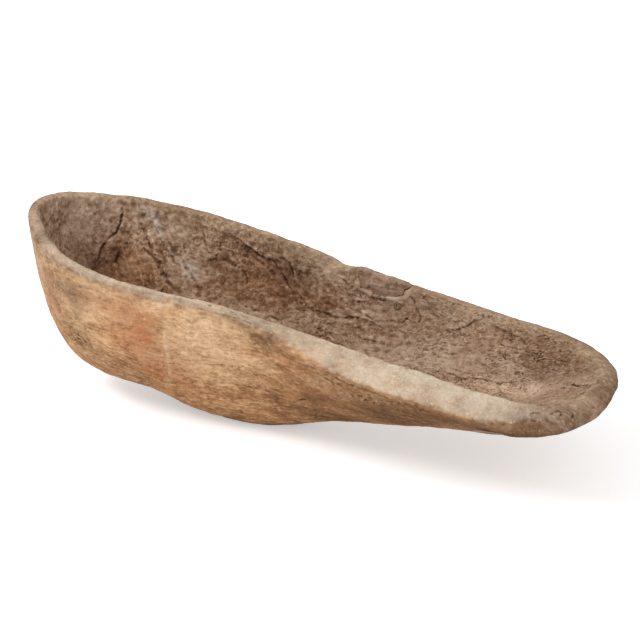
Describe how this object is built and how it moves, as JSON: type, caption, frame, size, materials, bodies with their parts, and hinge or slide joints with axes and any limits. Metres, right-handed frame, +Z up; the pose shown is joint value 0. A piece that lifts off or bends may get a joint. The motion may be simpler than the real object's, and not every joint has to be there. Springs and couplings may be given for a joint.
{
  "type": "dugout bowl",
  "caption": "Long free-form wooden bowl hewn from a log: deep rounded end, low open scoop end, bevelled rim, knot let into the far rim, flat foot.",
  "frame": {"origin": "on the ground, below the middle of the bowl's length and width", "axes": "+X along the length from the deep end to the scoop end, +Z up, -Y towards the side with the broad bevel"},
  "size_m": [0.9, 0.3088, 0.298],
  "materials": {
    "weathered_wood": "dry, weathered, hand hewn",
    "knot_wood": "dry, granular, grey-brown",
    "dead_knot": "dark, slightly polished"
  },
  "bodies": {
    "root": {"bowl_body": "weathered_wood", "rim_knot": "knot_wood", "pin_knot": "dead_knot"}
  },
  "joints": []
}
